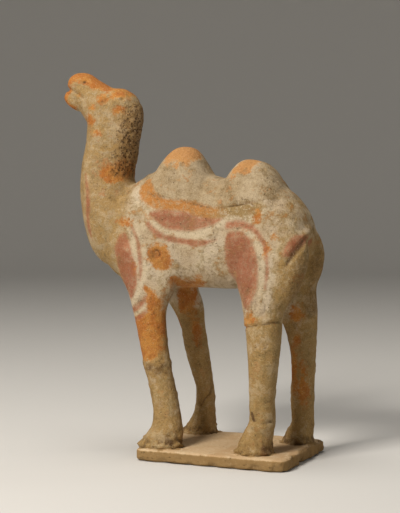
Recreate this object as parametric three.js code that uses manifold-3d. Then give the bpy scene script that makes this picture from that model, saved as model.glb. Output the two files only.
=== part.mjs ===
// Terracotta figure of a two-humped camel, standing on a thin slab of the same clay.
// Millimetres, +Z up. The camel looks along -X and its left side faces -Y.
// The origin is the middle of the slab's underside.
import * as THREE from "three";
import { LoftGeometry } from "three/addons/geometries/LoftGeometry.js";
import { mergeVertices } from "three/addons/utils/BufferGeometryUtils.js";
import Module from "manifold-3d";

// Slab: a flat tile with rounded corners and edges.
const SLAB_LENGTH = 133;
const SLAB_WIDTH = 105;
const SLAB_THICKNESS = 10.5;
const SLAB_CORNER_RADIUS = 8;
const SLAB_EDGE_RADIUS = 2.4;

// Figure: the heights that the tables below hang on, and where it stands on the slab.
const FIGURE_OFFSET_X = 1.5;
const SOLE_GAP = 0.3;
const SOLE = SLAB_THICKNESS + SOLE_GAP;
const BELLY = 141;
const BACK = 240;
const GIRTH = 37.5; // half the body's width

// Humps: place along the back, reach forward and back, height over the back, fullness of the top.
const HUMPS = [
  { at: -41, fore: 27, aft: 20.5, rise: 18.8, fullness: 2.5 },
  { at: 17, fore: 22.5, aft: 29, rise: 17.8, fullness: 3 },
];
const HUMP_FOOT = 1.3; // how softly a hump runs out into the back
const HUMP_PINCH = 0.34; // how much narrower the body is across a full hump
const BACK_PINCH = 0.12;

// A body part is a ladder of rungs, each an oval section seen from the side as one straight line:
// [front x, front z, rear x, rear z, half width, sideways place of its middle].
const TORSO = [
  [-119, 186, -119, 184, 2, 0],
  [-112, 205, -117, 166, 20, 0],
  [-98, 221, -103, 149, 31, 0],
  [-82, 231.5, -87, 143, 35, 0],
  [-62, BACK + 0.5, -64, BELLY, 37, 0],
  [-38, BACK - 0.5, -40, BELLY - 0.5, GIRTH, 0],
  [-9, 233, -9, BELLY - 0.5, 37, 0],
  [18, 229.8, 16, BELLY + 0.5, GIRTH, 0],
  [42, 226, 38, 144, GIRTH, 0],
  [54.5, 217, 50, 152, 34.5, 0],
  [64.5, 202.5, 60, 162, 27.5, 0],
  [69, 187, 66, 174, 13, 0],
  [69, 181.5, 68.5, 179.5, 1.5, 0],
];
const NECK = [
  [-108, 157, -106, 157, 2, 0],
  [-121, 162, -92, 156, 17, 0],
  [-131, 175, -80, 168, 26, 0],
  [-137, 196, -76, 193, 29.5, 0],
  [-140.5, 221, -88, 216, 27, 0],
  [-139.5, 244, -95, 233, 22.5, 0],
  [-136, 262, -92, 250, 20.5, 0],
  [-135, 276, -88.5, 268, 19.8, 0],
  [-134, 288, -86.5, 280, 18.8, 0],
  [-126, 299, -87.5, 293, 16.5, 0],
  [-114, 306, -94, 302, 11, 0],
  [-107, 307, -104, 307, 1, 0],
];
const HEAD = [
  [-88, 290, -88, 288, 2, 0],
  [-91.5, 301, -96, 268, 14, 0],
  [-101, 308, -112, 262.5, 18.8, 0],
  [-113, 309.5, -127, 269, 18.3, 0],
  [-124, 315, -138, 284, 15.2, 0],
  [-135, 321.5, -143, 291, 13, 0],
  [-145, 322.5, -149, 299, 11.5, 0],
  [-151.5, 319, -152, 308, 8, 0],
  [-153.5, 315, -153.5, 313, 1, 0],
];
const LOWER_LIP = [
  [-134, 296, -134, 294, 1, 0],
  [-140, 305, -138, 291, 8, 0],
  [-148, 309.5, -144.5, 290, 11, 0],
  [-153.5, 308, -152, 294, 10, 0],
  [-157, 304, -156.5, 298.5, 5, 0],
  [-157.5, 301.5, -157.5, 300.5, 0.5, 0],
];
// The tail is swept round the rump onto the left haunch: [x, y, z, radius] from its root to its tip.
const TAIL = [
  [62, 12, 198, 3],
  [66, 5, 193.5, 5],
  [67.8, -3, 189.5, 5.8],
  [66.3, -13, 186.3, 5.8],
  [62.3, -23, 181.5, 5.2],
  [57.3, -29.5, 173, 4.6],
  [53.5, -32.5, 162, 3],
];

// A leg's rungs are level, from the sole up: [z, front x, rear x, half width, sideways place].
const LEFT_FORELEG = [
  [SOLE, -71, -33, 14.5, -35],
  [17, -66.5, -32.5, 14, -34.5],
  [28, -59.5, -33.5, 11.5, -33],
  [39, -58, -36.2, 10.5, -32],
  [52, -60.5, -39, 10.5, -31],
  [75, -67.5, -44.7, 10.5, -29.6],
  [106, -75, -50, 11, -28],
  [124, -80, -51, 12.5, -26],
];
const RIGHT_FORELEG = [
  [SOLE, -66, -32, 14.5, 39],
  [17, -59.5, -33, 13, 39],
  [28, -52.5, -34, 10.5, 39],
  [43, -50, -34.5, 9, 38.5],
  [57, -50.8, -36, 9.5, 37],
  [78, -57, -38, 10, 34],
  [106, -62, -40, 11, 30],
  [124, -70, -40.5, 12.5, 26.5],
];
const LEFT_HINDLEG = [
  [SOLE, 14, 46, 14.5, -32],
  [19, 18, 45.5, 13.5, -32],
  [28, 23, 46, 12, -31],
  [37, 26.5, 47.5, 11.5, -31],
  [52, 26, 46.5, 11.5, -30],
  [75, 25.5, 48.7, 12.2, -29.3],
  [106, 23, 51.3, 13.3, -27.6],
  [126, 19, 53.5, 15, -25],
];
const RIGHT_HINDLEG = [
  [SOLE, 33, 60.5, 13, 27],
  [18, 37, 60.5, 12.5, 27],
  [28, 43, 60.5, 11, 27],
  [42, 42.5, 60, 10.5, 27],
  [62, 42, 61, 11, 27],
  [80, 41.5, 61.7, 11.5, 27],
  [102, 37.5, 62.8, 12.5, 27],
  [120, 30, 64.3, 15, 25],
];
// Above the leg a shoulder or haunch runs up into the body and ends inside it.
const SHOULDER = [
  [140, -87, -44.5, 14.5, 23.5],
  [156, -97, -44, 16.5, 20.5],
  [174, -103, -50, 17, 18.5],
  [192, -98, -62, 13, 17],
  [204, -84, -76, 1, 16],
];
const HAUNCH = [
  [141, 14, 63.5, 16.5, 22.5],
  [158, 9, 70, 17.5, 20.5],
  [174, 8, 71.5, 17, 19.5],
  [192, 16, 63.5, 13, 18],
  [204, 32, 42, 1, 17],
];

// Small features of the head, each the same on both sides.
const EYE = { x: -111.5, y: 14.6, z: 300, size: [4, 2.4, 3] };
const EAR = { x: -97.5, y: 12.2, z: 299, size: [4.4, 3.4, 3.8] };
const NOSTRIL = { x: -134.2, y: 11.4, z: 314.4, size: [2.2, 1.8, 1.6] };

const wasm = await Module();
wasm.setup();

// A smooth curve through the table's rows, at a place counted in rows: between two rows it is a cubic
// that runs, at each of them, parallel to the chord between the rows before and after.
function along(rows, place) {
  const from = Math.min(Math.floor(place), rows.length - 2);
  const s = place - from;
  const row = (i) => {
    const inside = THREE.MathUtils.clamp(i, 0, rows.length - 1);
    const next = inside + Math.sign(inside - i);
    return rows[inside].map((v, k) => (inside === i ? v : 2 * v - rows[next][k]));
  };
  const [a, b, c, d] = [row(from - 1), row(from), row(from + 1), row(from + 2)];
  return b.map((v, k) => {
    const slope = c[k] - a[k];
    const bend = 2 * a[k] - 5 * v + 4 * c[k] - d[k];
    const twist = 3 * v - a[k] - 3 * c[k] + d[k];
    return 0.5 * (2 * v + slope * s + bend * s * s + twist * s ** 3);
  });
}

// The oval of one rung: a superellipse on the rung's line and half width, pinched in towards its top.
function section([frontX, frontZ, rearX, rearZ, halfWidth, middleY], sides, squareness, pinch) {
  const soften = (v) => Math.sign(v) * Math.abs(v) ** (2 / squareness);
  return Array.from({ length: sides }, (_, i) => {
    const turn = (2 * Math.PI * i) / sides;
    const up = soften(Math.sin(turn));
    const out = soften(Math.cos(turn)) * (1 - pinch * ((1 + up) / 2) ** 2);
    return new THREE.Vector3(
      (frontX + rearX) / 2 + ((frontX - rearX) / 2) * up,
      middleY + Math.max(halfWidth, 0.5) * out,
      (frontZ + rearZ) / 2 + ((frontZ - rearZ) / 2) * up,
    );
  });
}

// A solid lofted through a ladder of rungs, with `steps` sections between two rungs.
function ladder(rungs, { steps, sides, squareness = 2.1, humps = [] }) {
  const sections = [];
  for (let i = 0; i <= (rungs.length - 1) * steps; i++) {
    const rung = along(rungs, i / steps);
    const rise = humps.reduce((sum, hump) => sum + humpRise(hump, rung[0]), 0);
    const full = humps.length ? rise / humps[0].rise : 0;
    rung[1] += rise;
    sections.push(section(rung, sides, squareness, humps.length ? BACK_PINCH + HUMP_PINCH * full : 0));
  }
  return solid(new LoftGeometry(turnedOut(sections), { capStart: true, capEnd: true }));
}

// A loft faces out when its rings turn anticlockwise as seen from its far end, so the others are reversed.
function turnedOut(sections) {
  const centre = (ring) => ring[0].clone().lerp(ring[ring.length / 2], 0.5);
  const ring = sections[1];
  const ahead = centre(sections[2]).sub(centre(ring));
  const across = ring[0].clone().sub(centre(ring));
  const turning = across.cross(ring[1].clone().sub(centre(ring)));
  return turning.dot(ahead) > 0 ? sections : sections.map((one) => one.reverse());
}

// A round, tapering roll of clay along a curve through its middle points.
function roll(rows, { steps, sides }) {
  const path = new THREE.CatmullRomCurve3(rows.map(([x, y, z]) => new THREE.Vector3(x, y, z)));
  const rings = (rows.length - 1) * steps;
  const frames = path.computeFrenetFrames(rings);
  const sections = Array.from({ length: rings + 1 }, (_, i) => {
    const centre = path.getPointAt(i / rings);
    const radius = along(rows, i / steps)[3];
    return Array.from({ length: sides }, (_, k) => {
      const turn = (2 * Math.PI * k) / sides;
      const spoke = frames.normals[i].clone().multiplyScalar(Math.cos(turn) * radius);
      return spoke.addScaledVector(frames.binormals[i], Math.sin(turn) * radius).add(centre);
    });
  });
  return solid(new LoftGeometry(turnedOut(sections), { capStart: true, capEnd: true }));
}

// How far a hump stands over the back at x: one minus a power of the distance, so the top is round and full.
function humpRise({ at, fore, aft, rise, fullness }, x) {
  const distance = Math.min(Math.abs(x - at) / (x < at ? fore : aft), 1);
  return rise * (1 - distance ** fullness) ** HUMP_FOOT;
}

function leg(lower, upper, side) {
  const level = ([z, frontX, rearX, halfWidth, y]) => [frontX, z, rearX, z, halfWidth, y];
  const mirrored = upper.map(([z, frontX, rearX, halfWidth, y]) => [z, frontX, rearX, halfWidth, side * y]);
  return ladder([...lower, ...mirrored].map(level), { steps: 2, sides: 16 });
}

// A flattened ball, for an eye, an ear or a nostril, on one side of the head.
function ball({ x, y, z, size }, side) {
  const geometry = new THREE.SphereGeometry(1, 10, 7);
  geometry.rotateX(Math.PI / 2).scale(...size).translate(x, side * y, z);
  return solid(geometry);
}

// A closed geometry as a solid.
function solid(geometry) {
  const bare = new THREE.BufferGeometry();
  bare.setAttribute("position", geometry.attributes.position);
  bare.setIndex(geometry.index);
  const merged = mergeVertices(bare, 1e-4);
  const vertProperties = merged.attributes.position.array;
  const triVerts = new Uint32Array(merged.index.array);
  return new wasm.Manifold(new wasm.Mesh({ numProp: 3, vertProperties, triVerts }));
}

function geometryOf(made) {
  const { vertProperties, triVerts } = made.getMesh();
  const geometry = new THREE.BufferGeometry();
  geometry.setAttribute("position", new THREE.BufferAttribute(new Float32Array(vertProperties), 3));
  geometry.setIndex(new THREE.BufferAttribute(new Uint32Array(triVerts), 1));
  return mergeVertices(geometry, 1e-4);
}

// Rounds the creases where the lofts meet, as a wet thumb does on clay. Each vertex moves towards the middle
// of its neighbours and then almost as far back out, which takes off creases and keeps the size.
function smoothCreases(geometry, rounds, hold) {
  const position = geometry.attributes.position;
  const index = geometry.index.array;
  const neighbours = Array.from({ length: position.count }, () => new Set());
  for (let i = 0; i < index.length; i += 3) {
    for (let k = 0; k < 3; k++) {
      neighbours[index[i + k]].add(index[i + ((k + 1) % 3)]);
      neighbours[index[i + ((k + 1) % 3)]].add(index[i + k]);
    }
  }
  let points = neighbours.map((_, i) => new THREE.Vector3().fromBufferAttribute(position, i));
  for (let round = 0; round < 2 * rounds; round++) {
    const pull = round % 2 === 0 ? 0.5 : -0.52;
    points = points.map((point, i) => {
      const middle = new THREE.Vector3();
      neighbours[i].forEach((j) => middle.add(points[j]));
      middle.divideScalar(neighbours[i].size);
      return point.clone().lerp(middle, pull * hold(point));
    });
  }
  points.forEach((p, i) => position.setXYZ(i, p.x, p.y, p.z));
  return geometry;
}

function camelFigure() {
  const pieces = [
    ladder(TORSO, { steps: 5, sides: 28, squareness: 2.4, humps: HUMPS }),
    ladder(NECK, { steps: 3, sides: 24 }),
    ladder(HEAD, { steps: 3, sides: 20 }),
    ladder(LOWER_LIP, { steps: 2, sides: 14 }),
    roll(TAIL, { steps: 2, sides: 12 }),
    leg(LEFT_FORELEG, SHOULDER, -1),
    leg(RIGHT_FORELEG, SHOULDER, 1),
    leg(LEFT_HINDLEG, HAUNCH, -1),
    leg(RIGHT_HINDLEG, HAUNCH, 1),
    ...[-1, 1].flatMap((side) => [ball(EYE, side), ball(EAR, side)]),
  ];
  const nostrils = [-1, 1].map((side) => ball(NOSTRIL, side));
  const whole = pieces.reduce((a, b) => a.add(b));
  const figure = nostrils.reduce((a, b) => a.subtract(b), whole);
  // The soles stay flat and the face keeps its small forms.
  const hold = (p) =>
    THREE.MathUtils.smoothstep(p.z, SOLE + 1, SOLE + 20) *
    (1 - 0.75 * THREE.MathUtils.smoothstep(p.z, 284, 296));
  return smoothCreases(geometryOf(figure), 10, hold);
}

function baseSlab() {
  // The outline lies inside the rounded edge, which the bevel adds.
  const x = SLAB_LENGTH / 2 - SLAB_EDGE_RADIUS;
  const y = SLAB_WIDTH / 2 - SLAB_EDGE_RADIUS;
  const r = SLAB_CORNER_RADIUS - SLAB_EDGE_RADIUS;
  const outline = new THREE.Shape();
  [[x - r, y - r], [r - x, y - r], [r - x, r - y], [x - r, r - y]].forEach(([cx, cy], quarter) => {
    outline.absarc(cx, cy, r, (quarter * Math.PI) / 2, ((quarter + 1) * Math.PI) / 2, false);
  });
  const geometry = new THREE.ExtrudeGeometry(outline, {
    depth: SLAB_THICKNESS - 2 * SLAB_EDGE_RADIUS,
    bevelThickness: SLAB_EDGE_RADIUS,
    bevelSize: SLAB_EDGE_RADIUS,
    bevelSegments: 2,
    curveSegments: 5,
  });
  return geometry.translate(0, 0, SLAB_EDGE_RADIUS);
}

function clay(color, roughness) {
  return new THREE.MeshStandardMaterial({ color, roughness, metalness: 0 });
}

const slab = new THREE.Mesh(baseSlab(), clay(0xcda878, 0.9));
slab.name = "base_slab";

const figure = new THREE.Mesh(camelFigure(), clay(0xcdb48a, 0.88));
figure.name = "camel_figure";
figure.position.x = FIGURE_OFFSET_X;

const camel = new THREE.Group();
camel.add(slab, figure);

export default camel;
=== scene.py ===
# A painted terracotta camel standing on a thin slab of the same clay, about 32 cm high.
# It looks along -X, its left flank faces -Y, and the slab's underside lies in z = 0.
import bpy
import numpy as np
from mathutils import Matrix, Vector


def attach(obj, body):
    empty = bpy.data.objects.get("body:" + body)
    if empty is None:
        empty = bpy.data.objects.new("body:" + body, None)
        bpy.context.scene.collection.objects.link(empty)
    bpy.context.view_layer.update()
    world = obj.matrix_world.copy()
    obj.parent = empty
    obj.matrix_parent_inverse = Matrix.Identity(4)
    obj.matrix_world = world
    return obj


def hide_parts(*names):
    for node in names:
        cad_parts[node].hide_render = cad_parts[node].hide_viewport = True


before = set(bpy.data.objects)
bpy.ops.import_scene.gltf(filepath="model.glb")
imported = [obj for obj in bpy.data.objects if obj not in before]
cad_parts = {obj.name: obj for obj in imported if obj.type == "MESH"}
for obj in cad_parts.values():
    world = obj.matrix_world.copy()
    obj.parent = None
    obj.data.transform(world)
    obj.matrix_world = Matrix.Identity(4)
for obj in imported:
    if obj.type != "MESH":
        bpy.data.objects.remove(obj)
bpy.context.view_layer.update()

# Camera. It stands in front of the left flank, turned 23 degrees towards the rump and 3 degrees down.
STANDPOINT = Vector((0.4468, -1.0992, 0.2357))
LOOKED_AT = Vector((-0.0295, 0.0, 0.16663))
lens = bpy.data.cameras.new("viewing_camera")
lens.lens = 100.2
lens.sensor_width = 36.0
lens.sensor_fit = "AUTO"
lens.clip_start = 0.05
lens.clip_end = 60.0
viewing_camera = bpy.data.objects.new("viewing_camera", lens)
viewing_camera.location = STANDPOINT
viewing_camera.rotation_euler = (LOOKED_AT - STANDPOINT).to_track_quat("-Z", "Y").to_euler()
bpy.context.scene.collection.objects.link(viewing_camera)
bpy.context.scene.camera = viewing_camera

# The base slab. A flat piece of clay rolled out and cut by hand, left unpainted and fired with the
# figure. Its rim is rubbed round, chipped along the near lower edge and broken rough at the rump end.
SLAB_HALF_LENGTH = 66.5
SLAB_HALF_WIDTH = 52.5
SLAB_TOP = 10.45
SLAB_CORNER = 8.0
SLAB_RIM = 2.6


def wander(points, cell, seed):
    """Value noise from -1 to 1. Each corner of a cubic lattice holds a number made from its whole
    coordinates, and a point takes the eight around it, weighted by 3t^2 - 2t^3 along each axis."""
    place = points / cell
    corner = np.floor(place).astype(np.int64)
    t = place - corner
    t = t * t * (3 - 2 * t)
    total = np.zeros(len(points))
    for number in range(8):
        step = np.array([number & 1, number >> 1 & 1, number >> 2 & 1])
        key = (corner + step) @ np.array([73856093, 19349663, 83492791]) + seed * 6700417
        key = (key ^ (key >> 13)) * 1274126177 & 0xFFFFFFFF
        key = ((key ^ (key >> 16)) * 668265263 & 0xFFFFFFFF) >> 12
        total += np.prod(np.where(step, t, 1 - t), axis=1) * ((key & 0xFFFF) / 32767.5 - 1)
    return total


def ease(values, low, high):
    """0 below low, 1 above high, and 3t^2 - 2t^3 between them."""
    t = np.clip((values - low) / (high - low), 0, 1)
    return t * t * (3 - 2 * t)


def fired(name, points, faces, body, node):
    """A smooth-shaded object from points in mm, which rides on a body and stands for a CAD node."""
    mesh = bpy.data.meshes.new(name)
    mesh.from_pydata((points / 1000).tolist(), [], faces.tolist())
    mesh.polygons.foreach_set("use_smooth", np.ones(len(mesh.polygons), bool))
    mesh.update()
    piece = bpy.data.objects.new(name, mesh)
    bpy.context.scene.collection.objects.link(piece)
    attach(piece, body)
    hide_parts(node)
    return piece


def slab_outline(count):
    """A rectangle with round corners, walked once round: the corner arcs are a quarter circle each,
    and the points are spread evenly along the length of the whole line."""
    quarter = np.linspace(0, np.pi / 2, 24)
    reach = np.array([SLAB_HALF_LENGTH - SLAB_CORNER, SLAB_HALF_WIDTH - SLAB_CORNER])
    signs = np.array([[1, -1], [1, 1], [-1, 1], [-1, -1]])
    arcs = []
    for turn, sign in enumerate(signs):
        angle = quarter + (turn - 1) * np.pi / 2
        arcs.append(sign * reach + SLAB_CORNER * np.stack([np.cos(angle), np.sin(angle)], -1))
    line = np.vstack(arcs + [arcs[0][:1]])
    walked = np.concatenate([[0], np.cumsum(np.linalg.norm(np.diff(line, axis=0), axis=1))])
    at = np.linspace(0, walked[-1], count, endpoint=False)
    return np.stack([np.interp(at, walked, line[:, 0]), np.interp(at, walked, line[:, 1])], -1)


def rolled_slab(around=420, across=46):
    """Rings of the outline drawn in towards the middle. The section runs out along the underside,
    up a quarter round, the side and another quarter round, and back in along the top."""
    outline = slab_outline(around)
    bend = np.linspace(0, np.pi / 2, 7)
    inset = np.concatenate([
        np.linspace(50, SLAB_RIM, 10)[:-1],
        SLAB_RIM * (1 - np.sin(bend)),
        np.zeros(5),
        SLAB_RIM * (1 - np.cos(bend)),
        np.linspace(SLAB_RIM, 52, across)[1:],
    ])
    height = np.concatenate([
        np.zeros(9),
        SLAB_RIM * (1 - np.cos(bend)),
        np.linspace(SLAB_RIM, SLAB_TOP - SLAB_RIM, 7)[1:-1],
        SLAB_TOP - SLAB_RIM + SLAB_RIM * np.sin(bend),
        np.full(across - 1, SLAB_TOP),
    ])
    shrink = 1 - inset[:, None] / np.array([SLAB_HALF_LENGTH, SLAB_HALF_WIDTH])
    flat = outline[None] * np.maximum(shrink, 0.004)[:, None]
    points = np.dstack([flat, np.broadcast_to(height[:, None], flat.shape[:2])]).reshape(-1, 3)
    rings = len(height)
    low = np.arange(rings - 1)[:, None] * around
    here = np.arange(around)
    ahead = (here + 1) % around
    faces = np.stack([low + here, low + ahead, low + around + ahead, low + around + here], -1)
    return points, faces.reshape(-1, 4), rings


def near_soles(points):
    """1 under a sole and falling to 0 a few mm outside its ellipse, with a ragged edge."""
    x, y = points[:, 0], points[:, 1]
    away = [(np.hypot((x - mx) / length, (y - my) / width) - 1) * 15 for mx, my, length, width in SOLES]
    ragged = 2.2 * wander(points, 6, 31) + 1.4 * wander(points, 2.6, 32)
    return ease(3.2 + ragged - np.min(away, axis=0), 0, 3.5)


def worn_slab():
    """The rim is pushed in by noise, more at the rump end, and the top rises and dips by 0.15 mm.
    Chips are round bites out of the rim, pits are small dents in the top, and soil is heaped in
    crumbs against the feet."""
    points, faces, rings = rolled_slab()
    x, y, z = points.T
    rim = ease(np.maximum(np.abs(x) / SLAB_HALF_LENGTH, np.abs(y) / SLAB_HALF_WIDTH), 0.86, 1.0)
    rough = ease(x, 50, 66)
    inward = 0.5 + 0.5 * wander(points, 17, 1) + 0.35 * wander(points, 6, 2)
    inward += rough * (0.9 + 0.9 * wander(points, 5, 3) + 0.5 * wander(points, 2.4, 4))
    for cx, cy, cz, size, depth in CHIPS:
        away = np.sqrt((x - cx) ** 2 + (y - cy) ** 2 + (1.3 * (z - cz)) ** 2)
        inward += depth * ease(size - away, 0, size * 0.7)
    inward = rim * np.clip(inward, 0, None)
    upper = ease(z, SLAB_TOP - 1.5, SLAB_TOP)
    sink = upper * (0.16 + 0.1 * wander(points, 19, 5) + 0.05 * wander(points, 4, 6))
    sink += upper * rim * (0.5 + 0.5 * wander(points, 13, 7)) * (0.5 + rough)
    for px, py, size, depth in PITS:
        sink += depth * ease(size - np.hypot(x - px, y - py), 0, size) * upper
    crumbs = np.clip(0.35 + 0.9 * wander(points, 3.4, 33) + 0.5 * wander(points, 2.0, 34), 0, 1.4)
    sink -= upper * near_soles(points) * 1.3 * crumbs
    lower = ease(1.5 - z, 0, 1.5)
    lift = lower * rim * np.clip(0.6 + 0.8 * wander(points, 9, 8), 0, None)
    toward = -np.stack([x / SLAB_HALF_LENGTH ** 2, y / SLAB_HALF_WIDTH ** 2], -1)
    toward /= np.linalg.norm(toward, axis=1)[:, None] + 1e-9
    shaped = points + np.stack([toward[:, 0] * inward, toward[:, 1] * inward, lift - sink], -1)
    around = len(points) // rings
    shaped = np.vstack([shaped, [[0, 0, 0], [0, 0, SLAB_TOP - 0.2]]])
    here = np.arange(around)
    ahead = (here + 1) % around
    last = (rings - 1) * around
    caps = np.vstack([
        np.stack([ahead, here, np.full(around, rings * around)], -1),
        np.stack([last + here, last + ahead, np.full(around, rings * around + 1)], -1),
    ])
    return shaped, faces, caps


# Chips are x, y, z, size and depth in mm. Pits are x, y, size and depth.
CHIPS = [
    (-60, -52.5, 0, 5, 1.6), (-41, -52.5, 0, 7, 1.4), (-17, -52.5, 0, 4, 1.2), (4, -52.5, 0, 6, 1.5),
    (22, -52.5, 0, 5, 1.0), (41, -52.5, 0, 8, 1.8), (60, -50, 1, 8, 1.6), (66.5, -30, 8, 7, 2.0),
    (66.5, -8, 2, 8, 2.2), (66.5, 15, 9, 9, 2.4), (66.5, 38, 4, 8, 2.0), (-66.5, -20, 1, 7, 1.5),
    (-66.5, 22, 9, 6, 1.2), (30, 52.5, 9, 8, 1.6), (-22, 52.5, 1, 7, 1.4), (64, 50, 9, 7, 1.8),
]
PITS = [(-32.4, 6.7, 1.5, 0.9), (8, -42, 1.1, 0.5), (-8, 22, 1.0, 0.4), (58, 5, 2.4, 0.8), (24, 8, 1.2, 0.4)]
# The feet's soles on the slab: middle x and y, and half length and half width.
SOLES = [(-50.5, -35, 19, 14.5), (-47.5, 39, 17, 14.5), (31.5, -32, 16, 14.5), (48.3, 27, 13.8, 13)]


class Tone:
    """A shader socket that can be reckoned with: an expression on tones adds its Math nodes."""

    def __init__(self, clay, socket):
        self.clay = clay
        self.socket = socket

    def reckon(self, operation, first, second=None):
        inputs = {0: first} if second is None else {0: first, 1: second}
        return self.clay.node("ShaderNodeMath", {"operation": operation}, inputs)

    def __add__(self, other):
        return self.reckon("ADD", self, other)

    def __sub__(self, other):
        return self.reckon("SUBTRACT", self, other)

    def __rsub__(self, other):
        return self.reckon("SUBTRACT", other, self)

    def __mul__(self, other):
        return self.reckon("MULTIPLY", self, other)

    __radd__ = __add__
    __rmul__ = __mul__

    def most(self, other):
        return self.reckon("MAXIMUM", self, other)

    def rise(self, low, high):
        """0 below low, 1 above high and a smooth step between. It falls where high is below low."""
        settings = {"interpolation_type": "SMOOTHSTEP", "clamp": True}
        inputs = {"Value": self, "From Min": low, "From Max": high}
        return self.clay.node("ShaderNodeMapRange", settings, inputs)


class Clay:
    """A material being mixed. node() adds any shader node and returns its first output or a named
    one, and the other methods are the few recipes that the pieces share."""

    def __init__(self, name):
        self.material = bpy.data.materials.new(name)
        self.material.use_nodes = True
        self.tree = self.material.node_tree
        self.tree.nodes.clear()
        self.place = self.node("ShaderNodeTexCoord", {}, {}, "Object")

    def node(self, kind, settings, inputs, output=0):
        made = self.tree.nodes.new(kind)
        for key, value in settings.items():
            setattr(made, key, value)
        sockets = {socket.identifier: socket for socket in made.inputs}
        for key, value in inputs.items():
            socket = sockets.get(key) or made.inputs[key]
            if isinstance(value, Tone):
                self.tree.links.new(value.socket, socket)
            else:
                socket.default_value = value
        results = {socket.identifier: socket for socket in made.outputs}
        return Tone(self, results.get(output) or made.outputs[output])

    def grain(self, size, detail=3.0, rough=0.55):
        """Noise with lumps of about this size in mm, around 0.5."""
        inputs = {"Vector": self.place, "Scale": 1000 / size, "Detail": detail, "Roughness": rough}
        return self.node("ShaderNodeTexNoise", {}, inputs)

    def specks(self, size):
        """Distance from scattered points this far apart in mm, in parts of that distance."""
        return self.node("ShaderNodeTexVoronoi", {}, {"Vector": self.place, "Scale": 1000 / size})

    def field(self, name):
        """A number that the mesh carries at each vertex."""
        return self.node("ShaderNodeAttribute", {"attribute_name": name}, {}, "Fac")

    def coat(self, under, over, amount):
        """Colour over lies on colour under by amount."""
        settings = {"data_type": "RGBA", "blend_type": "MIX", "clamp_factor": True}
        inputs = {"A_Color": under, "B_Color": over, "Factor_Float": amount}
        return self.node("ShaderNodeMix", settings, inputs, "Result_Color")

    def fire(self, colour, roughness, relief, depth):
        """Ends the recipe: a matt surface whose relief stands depth mm high where it is 1."""
        bump = {"Height": relief, "Strength": 1.0, "Distance": depth / 1000}
        normal = self.node("ShaderNodeBump", {}, bump)
        inputs = {"Base Color": colour, "Roughness": roughness, "Normal": normal}
        inputs["Specular IOR Level"] = 0.25
        shader = self.node("ShaderNodeBsdfPrincipled", {}, inputs)
        end = self.tree.nodes.new("ShaderNodeOutputMaterial")
        self.tree.links.new(shader.socket, end.inputs["Surface"])
        return self.material


def earth(red, green, blue):
    """A colour as the eye names it, 0 to 255, turned into the amounts of light that it gives back."""
    share = np.array([red, green, blue]) / 255
    light = np.where(share > 0.04045, ((share + 0.055) / 1.055) ** 2.4, share / 12.92)
    return tuple(float(value) for value in light) + (1.0,)


def slab_clay():
    clay = Clay("dusty_slab_clay")
    broad = clay.grain(26, 2)
    middle = clay.grain(7, 4, 0.6)
    small = clay.grain(2.6, 4, 0.65)
    fine = clay.grain(1.0, 4, 0.7)
    colour = clay.coat(earth(204, 176, 138), earth(192, 160, 120), broad.rise(0.4, 0.62))
    colour = clay.coat(colour, earth(212, 190, 154), middle.rise(0.5, 0.62) * 0.6)
    colour = clay.coat(colour, earth(184, 142, 98), small.rise(0.5, 0.62) * 0.35)
    crust = clay.field("crust")
    stained = (crust + (middle - 0.5) * 2.6 + (small - 0.5) * 1.5).rise(0.2, 0.95)
    colour = clay.coat(colour, earth(142, 112, 68), stained * (0.45 + crust.rise(0.7, 1.1) * 0.4))
    crumbly = (crust + (small - 0.5) * 2).rise(0.3, 0.7)
    pit = (clay.specks(3.2).rise(0.3, 0.12) * crumbly).most(clay.specks(6).rise(0.12, 0.06) * 0.6)
    colour = clay.coat(colour, earth(54, 38, 24), pit * 0.85)
    # Soil round the feet, and painted shade darkening the sides.
    soil_and_shade = clay.field("soil_and_shade")
    colour = clay.coat(colour, earth(144, 114, 70), (soil_and_shade + (small - 0.5) * 0.9).rise(0.15, 0.6) * 0.9)
    colour = clay.coat(colour, earth(120, 92, 56), fine.rise(0.56, 0.72) * 0.35)
    relief = fine * 0.5 + small * (0.3 + crust * 0.8) + middle * (0.3 + crust) - pit
    return clay.fire(colour, 0.93, relief, 0.8)


slab_points, slab_sides, slab_caps = worn_slab()
slab_faces = np.vstack([slab_sides[:, [0, 1, 2]], slab_sides[:, [0, 2, 3]], slab_caps])
slab = fired("base_slab_clay", slab_points, slab_faces, "root", "base_slab")
slab_x, slab_y, slab_z = slab_points.T
slab_edge = np.maximum(np.abs(slab_x) / SLAB_HALF_LENGTH, np.abs(slab_y) / SLAB_HALF_WIDTH)
slab_crust = ease(slab_edge, 0.975, 1.0) * (0.6 + 0.6 * ease(slab_x, 52, 65))
slab_crust = np.maximum(slab_crust, 1.1 * ease(slab_x + 5 * wander(slab_points, 9, 9), 57, 65))
# Painted shade darkens the slab's sides and underside below the top's edge; soil lies round the soles.
slab_soil_and_shade = np.maximum(ease(9.6 - slab_z, 0, 1.2) * 0.62, near_soles(slab_points) * (slab_z > 8) * 0.75)
slab.data.attributes.new("crust", "FLOAT", "POINT").data.foreach_set("value", slab_crust)
slab.data.attributes.new("soil_and_shade", "FLOAT", "POINT").data.foreach_set("value", slab_soil_and_shade)
slab.data.materials.append(slab_clay())

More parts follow.
